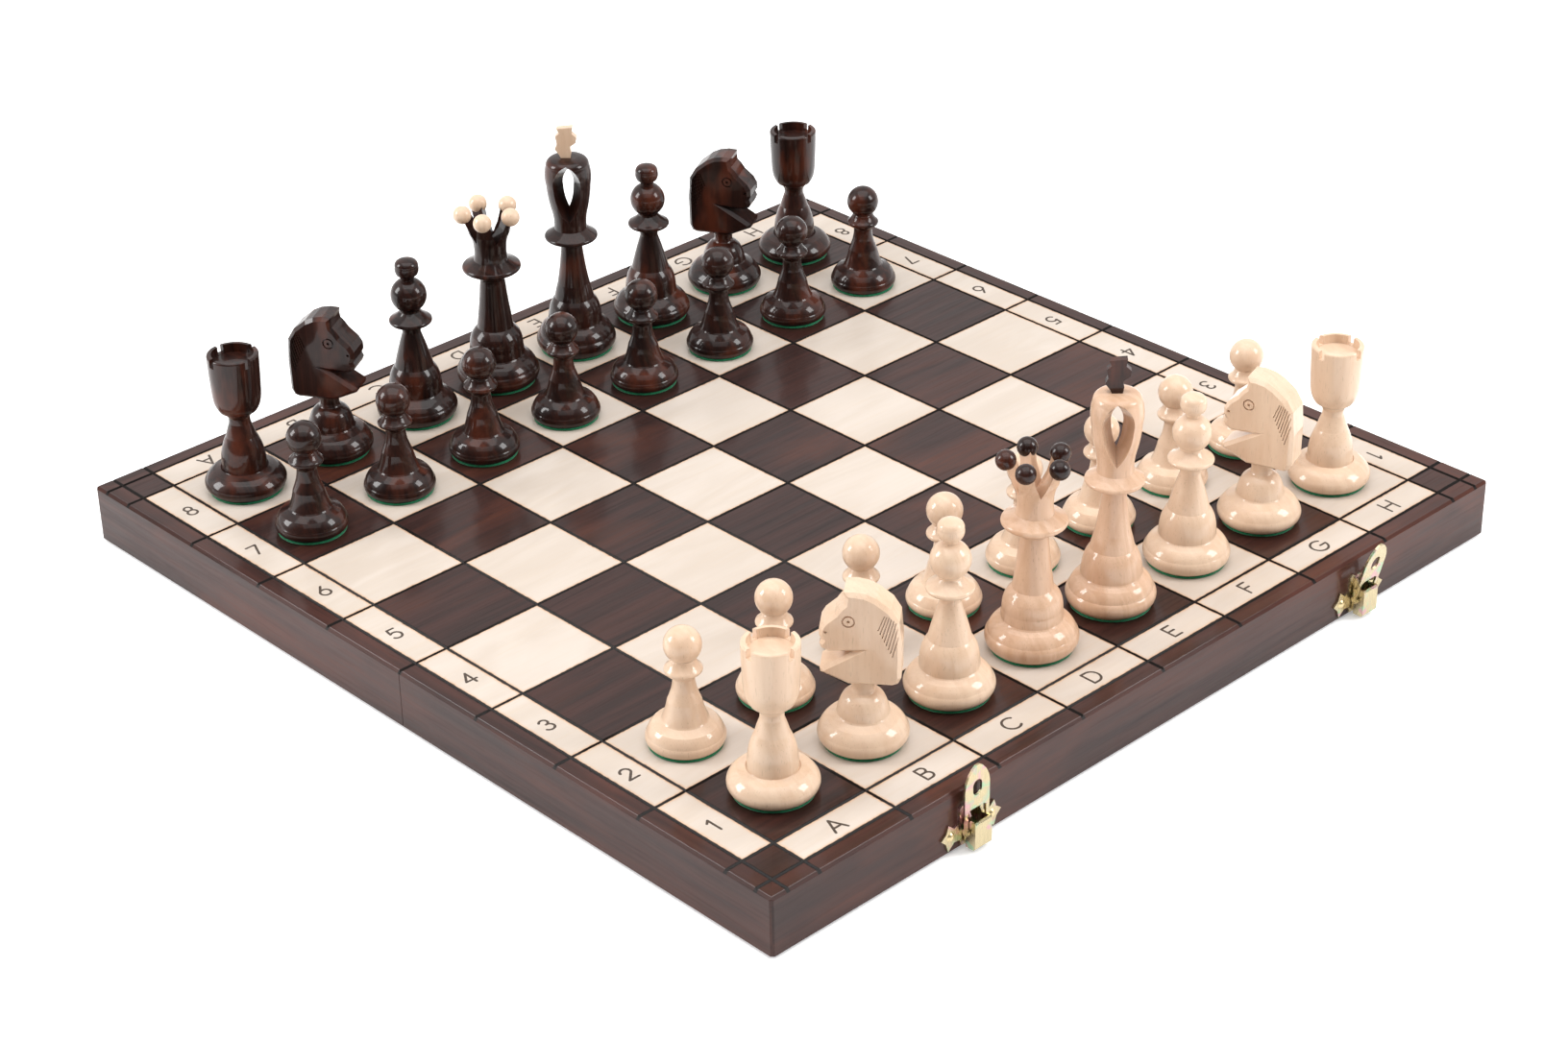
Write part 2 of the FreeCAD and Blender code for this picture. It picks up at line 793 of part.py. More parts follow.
def leaves(side, face, knuckles, screws):
    pair = group(f"leaves{side}", [leaf(side, face, hinge, knuckles) for hinge in (-1, 1)])
    return cut(f"hinge_leaves_{side.lower()}", pair, screws)


hinge_leaves_white = leaves("White", -1, (0, 2, 4), nails_white)
hinge_leaves_black = leaves("Black", 1, (1, 3), nails_black)
hinge_pins = group("hinge_pins", [
    bar_along_x(f"pin{hinge}", "hingePinRadius", "leafLength", f"{hinge} * hingeOffset - leafLength / 2")
    for hinge in (-1, 1)
])


def hinge_rail(side, face, plates, screws):
    low = "- railThickness - foldGap / 2" if face < 0 else "foldGap / 2"
    beam = box(
        f"beam{side}",
        Length=f"2 * ({INNER})",
        Width="railThickness",
        Height="boardDepth - panelThickness",
        px=f"- ({INNER})",
        py=low,
        pz="rimHeight",
    )
    reliefs = [box(
        f"relief{side}{n}",
        Length="leafLength + 1",
        Width="knuckleRadius + 0.3",
        Height="knuckleRadius + 0.4",
        px=f"{hinge} * hingeOffset - leafLength / 2 - 0.5",
        py="- knuckleRadius - 0.3" if face < 0 else "0",
        pz="rimHeight",
    ) for n, hinge in enumerate((-1, 1))]
    tool = fuse(f"reliefTool{side}", [*reliefs, plates, screws])
    return cut(f"hinge_rail_{side.lower()}", beam, tool)


hinge_rail_white = hinge_rail("White", -1, group("pairWhite", [hinge_leaves_white]), nails_white)
hinge_rail_black = hinge_rail("Black", 1, group("pairBlack", [hinge_leaves_black]), nails_black)
front_rail_white = cut("front_rail_white", grooved_front, nails_white)
front_rail_black = cut("front_rail_black", group("turnedFront", [grooved_front], TURN), nails_black)

# ---------------------------------------------------------------- clasps
# Every clasp part is drawn with its middle on the origin, out of the face along -Y
# and up from the rim along Z, and then placed on the face.


def star_plate(name, outline_right, nail_height):
    """A flat plate with a star shaped ear at each end, mirrored about the middle."""
    body = new_body(name)
    sketch = new_sketch(body, name + "Outline", "XZ_Plane")
    left = [(-x, z) for x, z in reversed(outline_right) if x]
    free_outline(sketch, outline_right + left)
    pad(body, sketch, "plateThickness")
    holes = new_sketch(body, name + "Holes", "XZ_Plane")
    for sign in (1, -1):
        hole(holes, f"{sign} * nailSpread", nail_height, "nailShankRadius")
    pocket(body, holes, "2 * plateThickness", midplane=True)
    return body


base = star_plate("base", [
    (2.2, 0.5), (5.4, 0.7), (6.3, 3.5), (9.2, 3.8), (12.3, 1), (13.5, 4.8), (16, 7.2), (13.4, 9.2),
    (12.2, 12.6), (9.2, 10), (6.3, 11), (6.3, 17.1), (4.6, 18.3), (2.4, 16.9), (0, 17.6),
], "claspNailHeight")
for sign, word in ((1, "Right"), (-1, "Left")):
    cheek = new_sketch(base, f"pivotCheek{word}", "YZ_Plane")
    bind(cheek, **{"AttachmentOffset.Base.z": f"{2.6 if sign > 0 else -3.3}"})
    free_outline(cheek, [
        (-0.4, 1.2), (-4.4, 1.2), (-5.5, 1.7), (-5.8, 2.6), (-5.4, 3.8), (-3, 9.6), (-3.3, 13.6),
        (-1.7, 16.4), (-0.4, 15.4),
    ])
    pad(base, cheek, "0.7")
bore = new_sketch(base, "pivotBore", "YZ_Plane")
hole(bore, "- leverPivotOut", "leverPivotUp", "leverPinRadius + pinPlay")
pocket(base, bore, "leverHalfWidth * 2", midplane=True)

lever = new_body("lever")
flank = new_sketch(lever, "leverFlank", "YZ_Plane")
free_outline(flank, [
    (-2.2, 0.4), (-6.2, 0.4), (-7, 1.2), (-7, 11.8), (-6.6, 12.6), (-1.5, 12), (-1.5, 4.5),
])
pad(lever, flank, "2 * leverHalfWidth", midplane=True)
channel = new_sketch(lever, "leverChannel", "YZ_Plane")
free_outline(channel, [(-6.2, -1), (1, -1), (1, 14), (-6.2, 14)])
pocket(lever, channel, "2 * (leverHalfWidth - leverWall)", midplane=True)
eyes = new_sketch(lever, "leverEyes", "YZ_Plane")
hole(eyes, "- tonguePivotOut", "tonguePivotUp", "tongueStudRadius + pinPlay")
pocket(lever, eyes, "2 * leverHalfWidth + 2", midplane=True)
axle = new_sketch(lever, "leverAxle", "YZ_Plane")
hole(axle, "- leverPivotOut", "leverPivotUp", "leverPinRadius")
pad(lever, axle, "2 * leverHalfWidth", midplane=True)

tongue = new_body("tongue")
fork = new_sketch(tongue, "tongueOutline", "XZ_Plane")
bind(fork, **{"AttachmentOffset.Base.z": "tonguePivotOut - tongueThickness / 2"})
RIGHT = [
    (4.8, 16), (4.8, 6.4), (6, 6.4), (6.3, 12), (6.6, 18), (6.6, 26), (6, 28.8), (4.7, 31.6),
    (2.8, 34), (0.9, 35.3),
]
free_outline(fork, RIGHT + [(-x, z) for x, z in reversed(RIGHT)] + [(-3.4, 16.8), (3.4, 16.8)])
pad(tongue, fork, "tongueThickness")
eye = new_sketch(tongue, "tongueEye", "XZ_Plane")
outline(eye, [
    (2.35, 24.4, 0, "2.35", "24.4"),
    (2.35, 26.6, 0.96, "2.35", "26.6"),
    (-2.35, 26.6, 0, "-2.35", "26.6"),
    (-2.35, 24.4, 0.96, "-2.35", "24.4"),
])
pocket(tongue, eye, "12", midplane=True)
for sign, word in ((1, "Right"), (-1, "Left")):
    foot = new_sketch(tongue, f"tongueFoot{word}", "YZ_Plane")
    bind(foot, **{"AttachmentOffset.Base.z": f"{sign * 4.8}"})
    hole(foot, "- tonguePivotOut", "tonguePivotUp", "tongueStudRadius + 0.7")
    pad(tongue, foot, "1.2", reverse=sign < 0)
    stud = new_sketch(tongue, f"tongueStud{word}", "YZ_Plane")
    bind(stud, **{"AttachmentOffset.Base.z": f"{sign * 3.8}"})
    hole(stud, "- tonguePivotOut", "tonguePivotUp", "tongueStudRadius")
    pad(tongue, stud, "1.4", reverse=sign < 0)

catch = star_plate("catch", [
    (2.4, 4.6), (4.4, 6), (9.2, 6.8), (12.3, 4), (13.5, 7.8), (16, 10.2), (13.4, 12.2), (12.2, 15.6),
    (9.2, 13), (4.4, 14), (2.4, 16), (0, 16.4),
], "catchNailHeight")
hook = new_sketch(catch, "hookSection", "YZ_Plane")
free_outline(hook, [
    (-0.4, 11.2), (-4.5, 11.2), (-4.9, 11.6), (-4.9, 15), (-4.1, 15), (-4.1, 12.1), (-0.4, 12.1),
])
pad(catch, hook, "3.2", midplane=True)


def on_face(name, source, clasp, face):
    turn = Rotation() if face < 0 else Rotation(Vector(0, 0, 1), 180)
    made = placed(name, source, turn, px=clasp, py=f"{face} * halfWidth", pz="rimHeight")
    return made


clasp_plates = group("clasp_plates", [
    on_face("plateLeft", base, "claspLeft", -1),
    on_face("plateRight", base, "claspRight", -1),
])
catch_plates = group("catch_plates", [
    on_face("catchLeft", catch, "claspLeft", 1),
    on_face("catchRight", catch, "claspRight", 1),
])
lever_left = on_face("lever_left", lever, "claspLeft", -1)
lever_right = on_face("lever_right", lever, "claspRight", -1)
tongue_left = on_face("tongue_left", tongue, "claspLeft", -1)
leaning = placed(
    "leaningTongue",
    tongue,
    Rotation(Vector(1, 0, 0), size("tongueLean")),
    py="- tonguePivotOut + tonguePivotOut * cos(tongueLean) + tonguePivotUp * sin(tongueLean)",
    pz="tonguePivotUp + tonguePivotOut * sin(tongueLean) - tonguePivotUp * cos(tongueLean)",
)
tongue_right = on_face("tongue_right", leaning, "claspRight", -1)

# ---------------------------------------------------------------- pieces on their squares

FILES = "abcdefgh"
ARMIES = {"white": (1, 2), "black": (8, 7)}
MASTERS = {
    "pawn": (pawn, pawn_felt),
    "rook": (rook, rook_felt),
    "knight": (knight, knight_felt),
    "bishop": (bishop, bishop_felt),
    "queen": (queen, queen_felt),
    "king": (king, king_felt),
}
BACK_ROW = ("rook", "knight", "bishop", "queen", "king", "bishop", "knight", "rook")
KNIGHT_HEADINGS = {"white": (130, 108), "black": (-58, -60)}
KING_HEADING = -45
QUEEN_HEADINGS = {"white": 23, "black": 38}
ROWS = {1: "whiteBack", 2: "whitePawns", 7: "blackPawns", 8: "blackBack"}


def stand(name, members, file, rank, heading=0):
    made = group(name, members, Placement(Vector(), Rotation(Vector(0, 0, 1), heading)))
    return bind(
        made,
        px=f"{file - 3.5} * pitch + {ROWS[rank]}Across",
        py=f"{rank - 4.5} * pitch + {ROWS[rank]}Along",
        pz=TOP,
    )


nodes = []
for army, (back, front_rank) in ARMIES.items():
    for file, letter in enumerate(FILES):
        nodes.append(stand(f"pawn_{army}_{letter}", MASTERS["pawn"], file, front_rank))
        kind = BACK_ROW[file]
        name = f"{kind}_{army}" if kind in ("king", "queen") else f"{kind}_{army}_{letter}"
        heading = {"king": KING_HEADING, "queen": QUEEN_HEADINGS[army]}.get(kind, 0)
        if kind == "knight":
            heading = KNIGHT_HEADINGS[army][file > 3]
        nodes.append(stand(name, MASTERS[kind], file, back, heading))
        if kind == "king":
            top = placed(f"{army}FinialSeat", finial, Rotation(), pz="kingHeight")
            nodes.append(stand(f"king_{army}_finial", [top], file, back, heading))
        if kind == "queen":
            nodes.append(stand(f"queen_{army}_balls", balls, file, back, heading))

nodes += [
    veneer_white, veneer_black, panel_white, panel_black, lining_white, lining_black,
    front_rail_white, front_rail_black, side_rails_white, side_rails_black,
    hinge_rail_white, hinge_rail_black, hinge_leaves_white, hinge_leaves_black, hinge_pins,
    nails_white, nails_black, clasp_plates, catch_plates, lever_left, lever_right,
    tongue_left, tongue_right,
]

doc.recompute()
for thing in doc.Objects:
    if "Invalid" in thing.State or "Error" in thing.State:
        raise RuntimeError(f"{thing.Name} did not recompute: {thing.State}")
os.makedirs("parts", exist_ok=True)
for node in nodes:
    shape = node.Shape
    if shape.isNull() or not shape.isValid() or not shape.Solids:
        raise RuntimeError(f"{node.Label} has no valid solid")
    shape.exportStep(f"parts/{node.Label}.step")
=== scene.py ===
import math
import random

import bmesh
import bpy
from mathutils import Matrix, Vector


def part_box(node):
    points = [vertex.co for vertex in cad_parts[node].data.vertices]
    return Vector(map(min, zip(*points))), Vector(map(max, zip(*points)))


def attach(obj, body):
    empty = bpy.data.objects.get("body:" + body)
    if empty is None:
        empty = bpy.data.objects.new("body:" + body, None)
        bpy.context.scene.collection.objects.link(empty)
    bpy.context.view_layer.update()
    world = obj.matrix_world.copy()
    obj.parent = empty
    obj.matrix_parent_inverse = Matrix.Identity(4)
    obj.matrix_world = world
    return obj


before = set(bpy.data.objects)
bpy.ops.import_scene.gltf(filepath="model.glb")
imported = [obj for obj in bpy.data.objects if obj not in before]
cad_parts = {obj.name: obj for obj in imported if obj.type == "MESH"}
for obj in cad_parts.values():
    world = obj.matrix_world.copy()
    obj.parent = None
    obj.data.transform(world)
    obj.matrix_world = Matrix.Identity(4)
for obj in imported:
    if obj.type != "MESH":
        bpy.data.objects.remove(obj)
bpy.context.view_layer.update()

# Wooden chess set on a folding board. Everything is in metres, in the row frame:
# X along the files a to h, Y along the ranks 1 to 8, Z up, the ground at 0.

PITCH = 0.0465              # square to square
EDGE = 4 * PITCH            # from the middle to the edge of the squares
BAND = 0.2015               # from the middle to the outer groove line
GROOVE = 0.00065            # half the width of a burnt groove
BURNT = (0.0075, 0.0045, 0.0035)
SCORCHED = (0.60, 0.31, 0.13)
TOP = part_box("veneer_white")[1].z
WHITE, BLACK = "white_half", "black_half"


# ---------------------------------------------------------------- shader building

class Shade:
    """Adds nodes to one material; each method returns an output socket."""

    def __init__(self, name):
        self.material = bpy.data.materials.new(name)
        self.material.use_nodes = True
        self.tree = self.material.node_tree
        self.tree.nodes.clear()
        self.out = self.tree.nodes.new("ShaderNodeOutputMaterial")
        self.skin = self.tree.nodes.new("ShaderNodeBsdfPrincipled")
        self.tree.links.new(self.skin.outputs[0], self.out.inputs["Surface"])
        self.at = self.tree.nodes.new("ShaderNodeTexCoord").outputs["Object"]

    def node(self, kind, values, out=0, **settings):
        made = self.tree.nodes.new("ShaderNode" + kind)
        for key, value in settings.items():
            setattr(made, key, value)
        for key, value in values.items():
            if isinstance(value, bpy.types.NodeSocket):
                self.tree.links.new(value, made.inputs[key])
            elif value is not None:
                made.inputs[key].default_value = value
        return made.outputs[out]

    def math(self, operation, a, b=None):
        return self.node("Math", {0: a, 1: b}, operation=operation)

    def xyz(self):
        made = self.tree.nodes.new("ShaderNodeSeparateXYZ")
        self.tree.links.new(self.at, made.inputs[0])
        return made.outputs

    def stretch(self, scale, move=(0, 0, 0), turn=(0, 0, 0)):
        values = {"Vector": self.at, "Scale": scale, "Location": move, "Rotation": turn}
        return self.node("Mapping", values)

    def noise(self, scale, detail=3.0, rough=0.55, vector=None, bend=0.0):
        values = {"Vector": vector or self.at, "Scale": scale, "Detail": detail,
                  "Roughness": rough, "Distortion": bend}
        return self.node("TexNoise", values)

    def step(self, value, low, high, a=0.0, b=1.0):
        """Smooth change from a to b as the value goes from low to high."""
        values = {"Value": value, "From Min": low, "From Max": high, "To Min": a, "To Max": b}
        return self.node("MapRange", values, interpolation_type="SMOOTHSTEP")

    def mix(self, share, a, b):
        made = self.tree.nodes.new("ShaderNodeMix")
        made.data_type = "RGBA"
        for key, value in ((0, share), (6, a), (7, b)):
            if isinstance(value, bpy.types.NodeSocket):
                self.tree.links.new(value, made.inputs[key])
            else:
                made.inputs[key].default_value = (*value, 1) if key else value
        return made.outputs[2]

    def bump(self, height, distance, strength):
        return self.node("Bump", {"Height": height, "Distance": distance, "Strength": strength})

    def shifted(self, scale, detail, reach):
        """Noise from -reach / 2 to reach / 2, to make a line waver."""
        return self.math("MULTIPLY", self.math("SUBTRACT", self.noise(scale, detail), 0.5), reach)

    def set(self, **values):
        for key, value in values.items():
            socket = self.skin.inputs[key.replace("_", " ")]
            if isinstance(value, bpy.types.NodeSocket):
                self.tree.links.new(value, socket)
            else:
                socket.default_value = (*value, 1) if isinstance(value, tuple) else value
        return self.material


# ---------------------------------------------------------------- materials

def turned_wood(name, light, deep, red, red_share, move, coat):
    """Varnished turned wood with upright grain: fibre, growth rings and patches of thinner stain."""
    s = Shade(name)
    rings_at = s.stretch((1, 0.72, 0.06), move=move)
    swirl = s.noise(55, 2, vector=rings_at)
    ring_way = s.stretch((1, 0.3, 0.02), move=move, turn=(0.04, 0.05, 0.5))
    rings = s.noise(420, 2, 0.5, vector=ring_way, bend=0.6)
    fibre = s.noise(1500, 3, 0.6, vector=s.stretch((1, 1, 0.05)))
    flecks = s.step(s.noise(2600, 1, vector=s.stretch((1, 1, 0.08), move=move)), 0.64, 0.74)
    figure = s.math("ADD", s.math("MULTIPLY", rings, 0.62), s.math("MULTIPLY", swirl, 0.38))
    colour = s.mix(s.step(figure, 0.33, 0.68), deep, light)
    colour = s.mix(s.math("MULTIPLY", s.step(fibre, 0.35, 0.75), 0.35), colour, deep)
    patch = s.noise(48, 3, 0.6, vector=s.stretch((1.3, 1.3, 0.5), move=move))
    colour = s.mix(s.step(patch, 0.5, 0.68, 0, red_share), colour, red)
    colour = s.mix(s.math("MULTIPLY", flecks, 0.4), colour, tuple(0.55 * c for c in deep))
    varnish = s.noise(160, 2, 0.5)
    height = s.math("ADD", s.math("MULTIPLY", fibre, 0.35), s.math("MULTIPLY", varnish, 1.4))
    relief = s.bump(height, 0.00005, 0.5)
    skin_relief = s.bump(varnish, 0.00008, 0.5)
    return s.set(
        Base_Color=colour, Roughness=s.step(fibre, 0.2, 0.8, 0.32, 0.5), Normal=relief,
        Specular_IOR_Level=0.12, Coat_Weight=coat, Coat_Roughness=0.08, Coat_IOR=1.5,
        Coat_Normal=skin_relief,
    )


def line_distance(s):
    """Distance in x or y, whichever is less, to the nearest groove line."""
    x, y, _ = s.xyz()
    found = []
    for value in (x, y):
        inner = s.math("PINGPONG", value, PITCH / 2)
        outer = s.math("ABSOLUTE", s.math("SUBTRACT", s.math("ABSOLUTE", value), BAND))
        found.append(s.math("MINIMUM", inner, outer))
    return s.math("MINIMUM", *found)


def stained(name, deep, mid, red, along, gloss):
    """Stained and varnished board or rail: streaks along the grain, red where the stain is thin."""
    s = Shade(name)
    long_way = (0.045, 1, 1) if along == "x" else (1, 0.045, 1)
    cloud_way = (0.35, 1, 1) if along == "x" else (1, 0.35, 1)
    grain = s.noise(620, 4, 0.62, vector=s.stretch(long_way), bend=0.4)
    streak = s.noise(150, 3, 0.6, vector=s.stretch(long_way, move=(0.3, 0.7, 0.1)), bend=0.5)
    cloud = s.noise(19, 3, 0.6, vector=s.stretch(cloud_way, move=(0.11, 0.4, 0)), bend=0.8)
    colour = s.mix(s.step(streak, 0.3, 0.72), deep, mid)
    thin = s.math("MULTIPLY", s.step(cloud, 0.47, 0.68), s.step(grain, 0.3, 0.68, 0.25, 1))
    colour = s.mix(s.math("MULTIPLY", thin, 0.55), colour, red)
    colour = s.mix(s.step(grain, 0.52, 0.78, 0, 0.5), colour, tuple(0.45 * c for c in deep))
    rough = s.step(grain, 0.25, 0.75, 0.34, 0.52)
    coat = s.noise(95, 3, 0.5, bend=0.3)
    distance = s.math("ADD", line_distance(s), s.shifted(900, 2, 0.0005))
    on_top = s.step(s.xyz()[2], TOP - 0.0015, TOP - 0.0011)
    burnt = s.math("MULTIPLY", s.step(distance, GROOVE * 1.05, GROOVE * 1.75, 1, 0), on_top)
    colour = s.mix(burnt, colour, BURNT)
    edge = s.math("MULTIPLY", on_top, s.step(s.xyz()[2], TOP - 0.0002, TOP - 0.00005, 1, 0))
    dull = s.math("MAXIMUM", burnt, edge)
    rough = s.math("MAXIMUM", rough, s.math("MULTIPLY", dull, 0.75))
    height = s.math("ADD", s.math("MULTIPLY", grain, 0.5), s.math("MULTIPLY", coat, 2.2))
    skin_height = s.math("ADD", coat, s.math("MULTIPLY", grain, 0.12))
    return s.set(
        Base_Color=colour, Roughness=rough, Specular_IOR_Level=0.16,
        Normal=s.bump(height, 0.00006, 0.55), Coat_Weight=s.step(dull, 0, 0.8, 0.32, 0.06),
        Coat_Roughness=gloss, Coat_IOR=1.5, Coat_Normal=s.bump(skin_height, 0.0001, 0.5),
    )


def cream_veneer(name):
    """Pale inlaid veneer, scorched a little along the grooves."""
    s = Shade(name)
    grain = s.noise(700, 4, 0.6, vector=s.stretch((0.04, 1, 1), move=(0.2, 0, 0)), bend=0.5)
    figure = s.noise(42, 3, 0.55, vector=s.stretch((0.22, 1, 1)), bend=1.2)
    colour = s.mix(s.step(figure, 0.3, 0.7), (0.535, 0.455, 0.385), (0.59, 0.515, 0.45))
    colour = s.mix(s.step(grain, 0.45, 0.8, 0, 0.3), colour, (0.56, 0.44, 0.32))
    distance = s.math("ADD", line_distance(s), s.shifted(420, 3, 0.0011))
    colour = s.mix(s.step(distance, GROOVE, 0.0021, 0.55, 0), colour, SCORCHED)
    line = s.step(distance, GROOVE * 0.85, GROOVE * 1.5, 0.92, 0)
    colour = s.mix(line, colour, (0.10, 0.045, 0.022))
    coat = s.noise(110, 3, 0.5, bend=0.3)
    height = s.math("ADD", s.math("MULTIPLY", grain, 0.5), s.math("MULTIPLY", coat, 2))
    return s.set(
        Base_Color=colour, Roughness=s.step(grain, 0.2, 0.8, 0.3, 0.42),
        Normal=s.bump(height, 0.00005, 0.5),
        Specular_IOR_Level=0.2, Coat_Weight=0.25, Coat_Roughness=0.13, Coat_IOR=1.5,
        Coat_Normal=s.bump(coat, 0.00008, 0.5),
    )


def felt(name, dark, bright):
    s = Shade(name)
    fuzz = s.noise(5200, 4, 0.7)
    clump = s.noise(700, 3, 0.6)
    tone = s.math("ADD", s.math("MULTIPLY", fuzz, 0.6), s.math("MULTIPLY", clump, 0.4))
    return s.set(
        Base_Color=s.mix(s.step(tone, 0.35, 0.65), dark, bright), Roughness=0.95,
        Specular_IOR_Level=0.15, Sheen_Weight=0.25, Sheen_Roughness=0.5,
        Normal=s.bump(fuzz, 0.0003, 0.9),
    )


def plated(name, gold, rose, green, tint_share, rough):
    """Plated steel; tint_share is how much of the rainbow film shows."""
    s = Shade(name)
    film = s.noise(85, 2, 0.5, bend=1.6)
    rub = s.noise(1900, 3, 0.6, vector=s.stretch((1, 1, 0.08)))
    dents = s.noise(300, 3, 0.6)
    tint = s.mix(s.step(film, 0.42, 0.58), rose, green)
    spots = s.noise(130, 2, 0.5, bend=1.0, vector=s.stretch((1, 1, 1), move=(0.4, 0.1, 0)))
    colour = s.mix(s.step(spots, 0.45, 0.6, 0, tint_share), gold, tint)
    colour = s.mix(s.step(rub, 0.5, 0.8, 0, 0.35), colour, tuple(0.55 * c for c in gold))
    height = s.math("ADD", s.math("MULTIPLY", rub, 0.4), s.math("MULTIPLY", dents, 1.0))
    return s.set(
        Base_Color=colour, Metallic=1.0, Roughness=s.step(rub, 0.2, 0.8, rough - 0.06, rough + 0.12),
        Normal=s.bump(height, 0.00006, 0.6),
    )


CREAM = turned_wood(
    "wood_cream", (0.73, 0.545, 0.395), (0.67, 0.475, 0.335), (0.60, 0.38, 0.24), 0.3, (0, 0, 0), 0.7)
TAN = turned_wood(
    "wood_tan", (0.68, 0.46, 0.32), (0.58, 0.365, 0.235), (0.50, 0.27, 0.15), 0.4, (0.4, 0.2, 0), 0.7)
EBONY = turned_wood(
    "wood_dark", (0.034, 0.010, 0.0062), (0.009, 0.003, 0.0022), (0.13, 0.028, 0.011), 0.45,
    (0.1, 0.6, 0), 0.5)
PANEL = stained(
    "board_stain", (0.020, 0.0078, 0.0062), (0.042, 0.0145, 0.011), (0.12, 0.035, 0.018), "x", 0.12)
RAIL_X = stained(
    "rail_stain_x", (0.024, 0.0085, 0.0065), (0.052, 0.017, 0.012), (0.12, 0.033, 0.018), "x", 0.1)
RAIL_Y = stained(
    "rail_stain_y", (0.024, 0.0085, 0.0065), (0.052, 0.017, 0.012), (0.12, 0.033, 0.018), "y", 0.1)
VENEER = cream_veneer("veneer_cream")
PAD_GREEN = felt("felt_green", (0.007, 0.12, 0.05), (0.018, 0.25, 0.11))
ZINC = plated("zinc_film", (0.56, 0.47, 0.29), (0.60, 0.36, 0.37), (0.36, 0.52, 0.34), 0.95, 0.26)
BRASS = plated("hinge_plate", (0.72, 0.58, 0.33), (0.66, 0.50, 0.36), (0.62, 0.60, 0.38), 0.3, 0.32)


def ink():
    s = Shade("burnt_label")
    char = s.noise(2400, 3, 0.6)
    colour = s.mix(s.step(char, 0.35, 0.7), (0.026, 0.017, 0.012), (0.095, 0.062, 0.04))
    return s.set(Base_Color=colour, Roughness=0.6, Normal=s.bump(char, 0.00004, 0.5))


INK = ink()


def paint(node, material):
    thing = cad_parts[node]
    if not thing.material_slots:
        thing.data.materials.append(material)
    for place in thing.material_slots:
        place.material = material


KINDS = (
    ("veneer", VENEER), ("panel", PANEL), ("lining", PAD_GREEN), ("front_rail", RAIL_X),
    ("hinge_rail", RAIL_X), ("side_rails", RAIL_Y), ("hinge_", BRASS), ("nails", BRASS),
    ("clasp", ZINC), ("catch", ZINC), ("lever", ZINC), ("tongue", ZINC),
)
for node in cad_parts:
    found = next((m for start, m in KINDS if node.startswith(start)), None)
    if found is None:
        pale = "white" in node
        if node.endswith(("finial", "balls")):
            pale = not pale
        found = (TAN if node in ("king_white", "queen_white") else CREAM) if pale else EBONY
    paint(node, found)


# ---------------------------------------------------------------- pieces made here

def piece(name, mesh, material, body):
    made = bpy.data.objects.new(name, mesh)
    bpy.context.scene.collection.objects.link(made)
    mesh.materials.append(material)
    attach(made, body)
    return made


def smooth(mesh):
    for face in mesh.polygons:
        face.use_smooth = True
    return mesh


# Radius of each foot's sole, and how far its pad reaches past it, in millimetres.
SOLES = {"pawn": 14.1, "rook": 15.4, "knight": 15.2, "bishop": 15.8, "queen": 16.2, "king": 16.2}
PAD_REACH = 0.3
RAGGED = 0.00007            # how far a cut felt edge strays
AROUND = 96                 # corners around a pad
FILES = "abcdefgh"
BACK_ROW = ("rook", "knight", "bishop", "queen", "king", "bishop", "knight", "rook")


def felt_pad(name, x, y, radius, rng):
    """A cut felt disc with a soft, uneven edge."""
    edge = [radius + RAGGED * rng.uniform(-1, 1) for _ in range(AROUND)]
    # share of the radius, height above the board
    profile = [(0.0, -0.00003), (0.97, -0.00003), (1.0, 0.0002), (1.006, 0.0006), (1.0, 0.001),
               (0.975, 0.00119), (0.0, 0.00119)]
    form = bmesh.new()
    rings = []
    for share, height in profile:
        if share == 0.0:
            rings.append([form.verts.new((x, y, TOP + height))])
            continue
        ring = []
        for n, reach in enumerate(edge):
            angle = 2 * math.pi * n / AROUND
            ring.append(form.verts.new((
                x + reach * share * math.cos(angle),
                y + reach * share * math.sin(angle),
                TOP + height,
            )))
        rings.append(ring)
    for low, high in zip(rings, rings[1:]):
        for n in range(AROUND):
            m = (n + 1) % AROUND
            if len(low) == 1:
                form.faces.new((low[0], high[m], high[n]))
            elif len(high) == 1:
                form.faces.new((low[n], low[m], high[0]))
            else:
                form.faces.new((low[n], low[m], high[m], high[n]))
    mesh = bpy.data.meshes.new(name)
    form.to_mesh(mesh)
    form.free()
    return smooth(mesh)


rng = random.Random(7)
for army in ("white", "black"):
    for file, letter in enumerate(FILES):
        kind = BACK_ROW[file]
        single = kind in ("king", "queen")
        for what in ("pawn", kind):
            node = f"{what}_{army}" if single and what == kind else f"{what}_{army}_{letter}"
            low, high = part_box(node)
            middle = (low + high) / 2
            mesh = felt_pad("pad_" + node, middle.x, middle.y, (SOLES[what] + PAD_REACH) / 1000, rng)
            piece("pad_" + node, mesh, PAD_GREEN, node)


def arc(cx, cy, rx, ry, start, end, steps=20):
    angles = [math.radians(start + (end - start) * n / steps) for n in range(steps + 1)]
    return [(cx + rx * math.cos(a), cy + ry * math.sin(a)) for a in angles]


